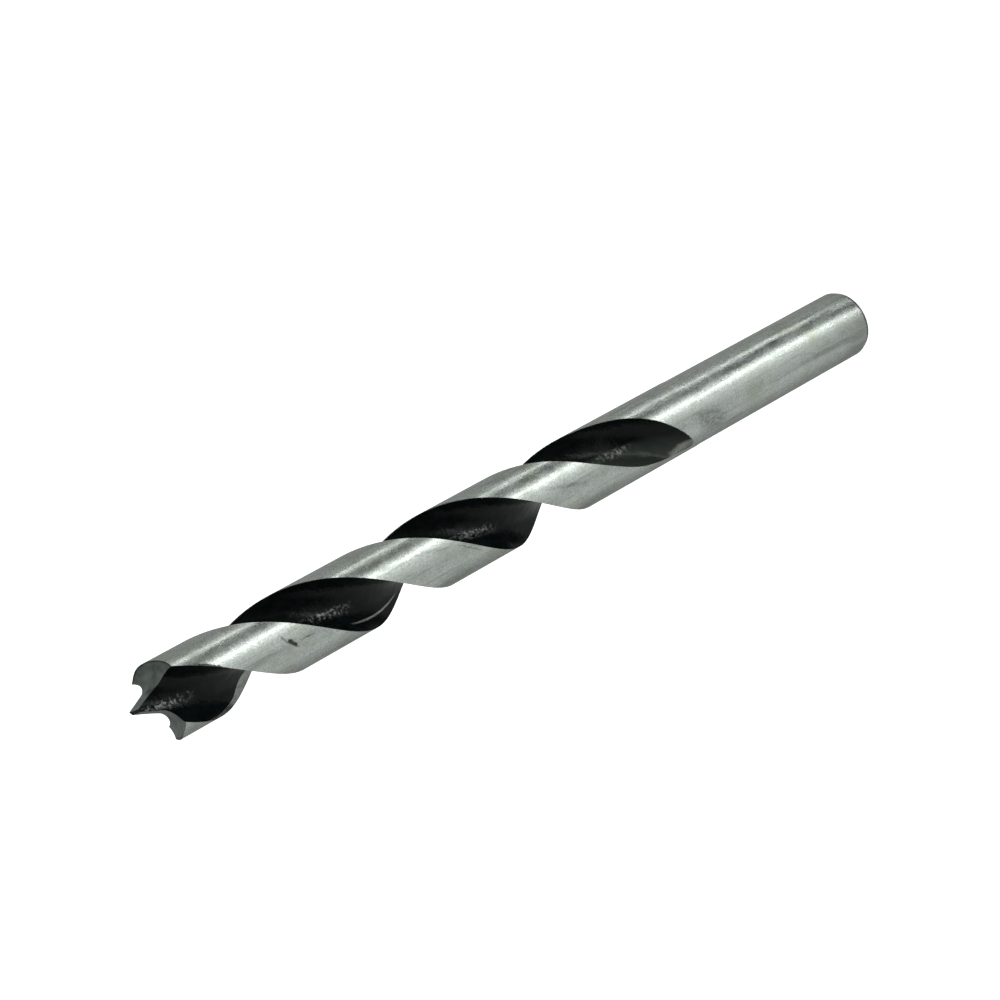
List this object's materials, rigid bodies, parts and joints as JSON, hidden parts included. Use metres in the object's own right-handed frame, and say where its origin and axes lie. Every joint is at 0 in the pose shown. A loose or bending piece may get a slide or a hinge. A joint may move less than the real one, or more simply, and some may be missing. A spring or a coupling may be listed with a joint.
{
  "type": "brad point drill bit",
  "caption": "Wood drill bit in one bar: plain round shank, two right-hand helical flutes, and a hollow-ground tip with a centre point and outer spurs.",
  "frame": {"origin": "centre of the flat end of the shank, on the axis of the bit", "axes": "+Z along the axis from the shank to the centre point; +X through the middle of one flute at the height of the spurs; +Y completes a right-handed frame"},
  "size_m": [0.01, 0.01, 0.1325],
  "materials": {
    "drill_bit": "ground bright on the shank, the lands and the tip, dark oxide in the flutes"
  },
  "bodies": {
    "root": {"drill_bit": "drill_bit"}
  },
  "joints": []
}
